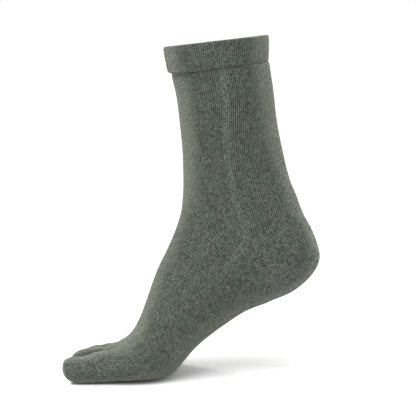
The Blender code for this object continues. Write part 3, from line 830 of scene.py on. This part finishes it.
cuff_piece = tube_panel("cuff_knit", cuff_points, course_rows(cuff_points), no_softening)
sew(cuff_piece)
apply(cuff_piece, "DISPLACE", vertex_group="rib", mid_level=0.0, strength=CUFF_RIB)
bpy.ops.object.shade_smooth()
thicken(cuff_piece, CUFF_LAYER)
pieces["cuff"] = cuff_piece
print(f"the cuff has {len(cuff_piece.data.polygons)} faces")

# %% [markdown]
# ## A short way to write a finish
# A finish is a web of nodes. It could be laid out by hand in the shader editor, but a knit needs dozens of
# them, and most are plain sums. The helper below adds one node for each word, so that the finish reads like a
# formula, and the nodes stay ones that anybody can open and change in the editor.

# %% Helpers for node formulas
class Formula:
    """Adds maths nodes to a material and connects them, so that a finish can be written as a few formulas."""

    def __init__(self, material):
        self.tree = material.node_tree

    def add(self, kind, **settings):
        """A new node with its settings."""
        node = self.tree.nodes.new(kind)
        for setting, value in settings.items():
            setattr(node, setting, value)
        return node

    def feed(self, socket, value):
        """Connects a socket to another one, or gives it a plain value."""
        if isinstance(value, bpy.types.NodeSocket):
            self.tree.links.new(value, socket)
        else:
            socket.default_value = value

    def maths(self, operation, *values):
        """One step of arithmetic."""
        node = self.add("ShaderNodeMath", operation=operation)
        for socket, value in zip(node.inputs, values):
            self.feed(socket, value)
        return node.outputs[0]

    def between(self, value, low, high, start=0.0, end=1.0):
        """A smooth step from start to end while a value goes from low to high."""
        node = self.add("ShaderNodeMapRange", interpolation_type="SMOOTHSTEP")
        for socket, part in zip(node.inputs, (value, low, high, start, end)):
            self.feed(socket, part)
        return node.outputs[0]

    def vector(self, x, y, z):
        """Three values as one place."""
        node = self.add("ShaderNodeCombineXYZ")
        for socket, part in zip(node.inputs, (x, y, z)):
            self.feed(socket, part)
        return node.outputs[0]

    def noise(self, u, v, scales, layer, detail=1.0):
        """Soft noise between 0 and 1, in a layer of its own. Large scales make it change quickly."""
        node = self.add("ShaderNodeTexNoise", noise_dimensions="3D")
        place = (self.maths("MULTIPLY", part, scale) for part, scale in zip((u, v), scales))
        self.feed(node.inputs["Vector"], self.vector(*place, layer))
        node.inputs["Scale"].default_value = 1.0
        node.inputs["Detail"].default_value = detail
        return node.outputs["Fac"]

    def random(self, column, row, layer):
        """An even random number for each whole-numbered place."""
        node = self.add("ShaderNodeTexWhiteNoise", noise_dimensions="3D")
        self.feed(node.inputs["Vector"], self.vector(column, row, layer))
        return node.outputs["Value"]

    def up_and_down(self, value):
        """Goes from 0 at each whole number to 1 half-way to the next."""
        return self.maths("MULTIPLY", self.maths("PINGPONG", value, 0.5), 2.0)

    def mix(self, share, first, second):
        """A colour between two colours."""
        node = self.add("ShaderNodeMix", data_type="RGBA")
        for socket, part in zip((node.inputs[0], node.inputs[6], node.inputs[7]), (share, first, second)):
            self.feed(socket, (*part, 1) if isinstance(part, tuple) else part)
        return node.outputs[2]


print("a formula can add, mix and look up noise")

# %% [markdown]
# ## Melange knit
# Melange yarn is spun from fibres that were dyed in a few shades, so no two stitches have the same tone. An
# image could be wrapped round the sock, but it would stretch at the heel. The finish counts columns and rows
# of stitches on each piece's knit map instead. In plain knit every stitch shows as a small V with a groove on
# each side, and those Vs are the relief. The grooves are also darkened in the colour, which is painted shade.
# A random tone for each arm of a V, streaks along the rows and slow drifts between a greener and a browner
# grey make the melange. Fine fibres stand off the yarn and catch the light at the edges, which is what the
# sheen does.

# %% Knit material
GREEN = (0.061, 0.087, 0.065)
BROWN = (0.078, 0.083, 0.068)
# a dark yarn tone for the darkest stitches, and also the colour of the painted shade in the grooves
DARK_TONE_AND_SHADE = (0.007, 0.009, 0.008)
PALE = (0.160, 0.183, 0.147)
HEEL_GREY = (0.090, 0.088, 0.081)
STRIPE_GREEN = (0.079, 0.104, 0.080)
FUZZ = (0.95, 0.95, 0.80)
FUZZ_WEIGHT = 0.78
FUZZ_SPREAD = 0.13
ARM_TONE = 1.1                  # how much the two arms of a stitch differ
STITCH_TONE = 0.26              # how much stitches differ
WALE_TONE = 0.20                # how much columns of stitches differ
STREAK_TONE = 0.38              # how much the yarn's tone changes along a row
STITCH_ROWS = 0.7               # the stitches' tones change a little more slowly than the rows
WALE_SCALES = (3.7, 0.06)       # how fast each noise changes across the columns and the rows of stitches
STREAK_SCALES = (0.14, 0.8)
DRIFT_SCALES = (0.13, 0.10)
PATCH_SCALES = (0.6, 0.5)
PATCH_SHARE = 0.9
HUES = (0.55, 1.35)             # the sum of both noises at which the grey is greenest and brownest
ARM_LEAN = 0.6                  # how far the arms of a V rise towards the groove, in rows
# how dark the painted shade in a groove between two columns of stitches is
GROOVE_SHADE = 0.78
GROOVE_START = 0.20             # where the painted shade of the groove sets in, from the middle of a column
GROOVE_EDGE = 0.6               # where its relief does
GROOVE_DEPTH = 0.8
RIDGE = 0.45                    # where an arm is thickest
BEAD = 0.35                     # how much lower the yarn lies half-way between two rows
ARM_HEIGHT = 0.25               # how much the heights of the arms differ
STITCH_HEIGHT = 0.35 * MM
RELIEF = 0.8                    # the strength of the relief
DULLNESS = (0.98, 0.12)         # the roughness of the darkest arm, and how much smoother the palest one is
SHINE = 0.25
STRIPE_HALF = 1.8               # half the side stripe's width, in columns
STRIPE_BLUR = 0.6
STRIPE_MIX = 0.72
STRIPE_LESS_SHADE = 0.45           # how much weaker the painted shade of the grooves is in the stripe
LEG_END = float(leg_courses[-1])
STRIPE_END = LEG_END + 55       # the row of stitches at which the side stripe has faded out
STRETCHED = (LEG_END + 20, LEG_END + 110)   # the rows between which the painted shade of the grooves grows weaker
# how much of the grooves' painted shade is left after those rows
STRETCHED_SHADE = 0.75
HEEL_ROWS_GREY = (LEG_END - 1.0, LEG_END - 10.0)    # the rows below the gore over which the heel turns grey
HEEL_MIX = 0.9


def knit_material(name, groove=1.0, stripe=False, heel=False):
    """The melange finish, with painted shade in its grooves. It may have deeper, darker grooves, the leg's
    side stripe or the heel's greyer yarn.
    """
    material = bpy.data.materials.new(name)
    material.use_nodes = True
    f = Formula(material)
    uv = f.add("ShaderNodeUVMap", uv_map="knit").outputs["UV"]
    split = f.add("ShaderNodeSeparateXYZ")
    f.feed(split.inputs[0], uv)
    u, v = split.outputs[0], split.outputs[1]
    across = f.up_and_down(u)
    row = f.maths("MULTIPLY_ADD", across, ARM_LEAN, v)
    along = f.up_and_down(row)
    wale = f.maths("ROUND", u)
    arm_tone = f.random(f.maths("FLOOR", f.maths("MULTIPLY", u, 2.0)), f.maths("FLOOR", row), 0.5)
    stitch_tone = f.random(wale, f.maths("FLOOR", f.maths("MULTIPLY", v, STITCH_ROWS)), 2.5)
    wale_tone = f.noise(wale, v, WALE_SCALES, 0.0)
    streak = f.noise(u, v, STREAK_SCALES, 4.0, detail=2.0)
    drift = f.noise(u, v, DRIFT_SCALES, 9.0)
    patch = f.noise(u, v, PATCH_SCALES, 21.0)
    colour = f.mix(f.between(f.maths("MULTIPLY_ADD", patch, PATCH_SHARE, drift), *HUES), GREEN, BROWN)
    light = f.maths("MULTIPLY", f.maths("SUBTRACT", arm_tone, 0.5), ARM_TONE)
    for share, amount in ((stitch_tone, STITCH_TONE), (wale_tone, WALE_TONE * 2), (streak, STREAK_TONE * 2)):
        light = f.maths("MULTIPLY_ADD", f.maths("SUBTRACT", share, 0.5), amount, light)
    # painted shade: the colour grows darker towards the groove between two columns of stitches
    groove_shade = f.maths("MULTIPLY", f.between(across, GROOVE_START, 1.0), GROOVE_SHADE * groove)
    if heel:
        colour = f.mix(f.maths("MULTIPLY", f.between(v, *HEEL_ROWS_GREY), HEEL_MIX), colour, HEEL_GREY)
    if stripe:
        middle = f.maths("PINGPONG", u, HALF / WALE)
        from_side = f.maths("MINIMUM", middle, f.maths("SUBTRACT", HALF / WALE, middle))
        inside = f.between(from_side, STRIPE_HALF + STRIPE_BLUR, STRIPE_HALF - STRIPE_BLUR)
        inside = f.maths("MULTIPLY", inside, f.between(v, STRIPE_END, LEG_END))
        colour = f.mix(f.maths("MULTIPLY", inside, STRIPE_MIX), colour, STRIPE_GREEN)
        # the painted shade in the grooves is weaker inside the stripe, and weaker from the stretched rows
        # onwards
        groove_shade = f.maths("MULTIPLY", groove_shade, f.maths("MULTIPLY_ADD", inside, -STRIPE_LESS_SHADE, 1.0))
        groove_shade = f.maths("MULTIPLY", groove_shade, f.between(v, *STRETCHED, 1.0, STRETCHED_SHADE))
    colour = f.mix(f.maths("MAXIMUM", f.maths("MULTIPLY", light, -1.0), 0.0), colour, DARK_TONE_AND_SHADE)
    colour = f.mix(f.maths("MAXIMUM", light, 0.0), colour, PALE)
    # painted shade: the grooves between the columns of stitches darken the colour
    colour = f.mix(groove_shade, colour, DARK_TONE_AND_SHADE)
    off_ridge = f.maths("ABSOLUTE", f.maths("SUBTRACT", across, RIDGE))
    ridge = f.maths("SUBTRACT", 1.0, f.maths("POWER", off_ridge, 2.0))
    bead = f.maths("MULTIPLY_ADD", f.maths("MULTIPLY", along, along), -BEAD, 1.0)
    height = f.maths("MULTIPLY", ridge, bead)
    height = f.maths("MULTIPLY_ADD", f.between(across, GROOVE_EDGE, 1.0), -GROOVE_DEPTH * groove, height)
    height = f.maths("MULTIPLY_ADD", arm_tone, ARM_HEIGHT, height)
    bump = f.add("ShaderNodeBump")
    f.feed(bump.inputs["Height"], height)
    bump.inputs["Strength"].default_value = RELIEF
    bump.inputs["Distance"].default_value = STITCH_HEIGHT
    shader = material.node_tree.nodes["Principled BSDF"]
    f.feed(shader.inputs["Base Color"], colour)
    f.feed(shader.inputs["Normal"], bump.outputs["Normal"])
    f.feed(shader.inputs["Roughness"], f.maths("MULTIPLY_ADD", arm_tone, -DULLNESS[1], DULLNESS[0]))
    shader.inputs["Specular IOR Level"].default_value = SHINE
    shader.inputs["Sheen Weight"].default_value = FUZZ_WEIGHT
    shader.inputs["Sheen Roughness"].default_value = FUZZ_SPREAD
    shader.inputs["Sheen Tint"].default_value = (*FUZZ, 1)
    return material


FINISH = {"melange_knit": knit_material("melange_knit", stripe=True),
          "heel_knit": knit_material("heel_knit", groove=0.85, heel=True),
          "cuff_knit": knit_material("cuff_knit", groove=0.92)}
SLOT_OF = {"cuff": "cuff_knit", "heel": "heel_knit"}
for node, piece in pieces.items():
    slot = SLOT_OF.get(node, "melange_knit")
    piece.data.materials.clear()
    piece.data.materials.append(FINISH[slot])
    piece.data.polygons.foreach_set("material_index", np.zeros(len(piece.data.polygons), int))
    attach(piece, "root")
    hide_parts(node)
print(f"{len(pieces)} pieces wear {len(FINISH)} finishes")

# %% [markdown]
# ## White paper and soft light
# The photo has a white ground that runs into a white wall, and light from all around. A room with many lamps
# could give that, but a white world is simpler and has no hot spots. A soft sun from the left makes the one
# shadow that can be seen, under the arch of the foot, and brightens the floor enough for it to turn as white
# as the world behind it. Two broad lamps at the sides brighten the sock's edges, the left one in a warmer
# white, and a small one behind the toes does the same for their tops.

# %% Stage and light
WHITE = (1, 1, 1)
PAPER = (0.78, 0.78, 0.78)
WARM = (1, 0.95, 0.86)
COOL = (0.97, 1, 0.97)
BEHIND_TOES = (1, 0.97, 0.86)
UNDER = 0.4 * MM                # the floor lies this far under the sole
bpy.ops.object.select_all(action="DESELECT")
bpy.ops.mesh.primitive_plane_add(size=40, location=(0, 0, FLOOR - UNDER))
floor = bpy.context.object
floor.name = "floor"
paper = bpy.data.materials.new("paper")
paper.use_nodes = True
paper_shader = paper.node_tree.nodes["Principled BSDF"]
paper_shader.inputs["Base Color"].default_value = (*PAPER, 1)
paper_shader.inputs["Roughness"].default_value = 0.95
paper_shader.inputs["Specular IOR Level"].default_value = 0.0
floor.data.materials.append(paper)
world = bpy.data.worlds.new("studio")
world.use_nodes = True
world.node_tree.nodes["Background"].inputs["Color"].default_value = (*WHITE, 1)
world.node_tree.nodes["Background"].inputs["Strength"].default_value = 1.0
bpy.context.scene.world = world
bpy.context.scene.view_settings.view_transform = "Standard"


def lamp(kind, name, place, target, power, colour, **settings):
    """A lamp of some kind at a place, aimed at a target, with settings of its own."""
    bpy.ops.object.light_add(type=kind, location=place)
    light = bpy.context.object
    light.name = name
    light.data.energy = power
    light.data.color = colour
    for setting, value in settings.items():
        setattr(light.data, setting, value)
    way = np.array(place) - np.array(target)
    light.rotation_euler = (math.atan2(math.hypot(way[0], way[1]), way[2]), 0, math.atan2(way[0], -way[1]))


middle = (0, 0, FLOOR / 2)
toe_tops = (REACH * -0.45, 0, FLOOR * 0.95)
lamp("SUN", "sun", (-0.32, -0.42, 1.0), (0, 0, 0), 3.6, WHITE, angle=math.radians(55))
lamp("AREA", "left", (-0.8, 0.75, 0.55), middle, 2.5, WARM, shape="SQUARE", size=0.8)
lamp("AREA", "right", (0.9, 0.9, 0.0), middle, 6.5, COOL, shape="SQUARE", size=0.5)
lamp("SPOT", "over the toes", (-0.30, 0.22, -0.10), toe_tops, 9.0, BEHIND_TOES,
     spot_size=math.radians(30), spot_blend=1.0, shadow_soft_size=0.05)
print("the light comes from the world, a soft sun and three lamps")
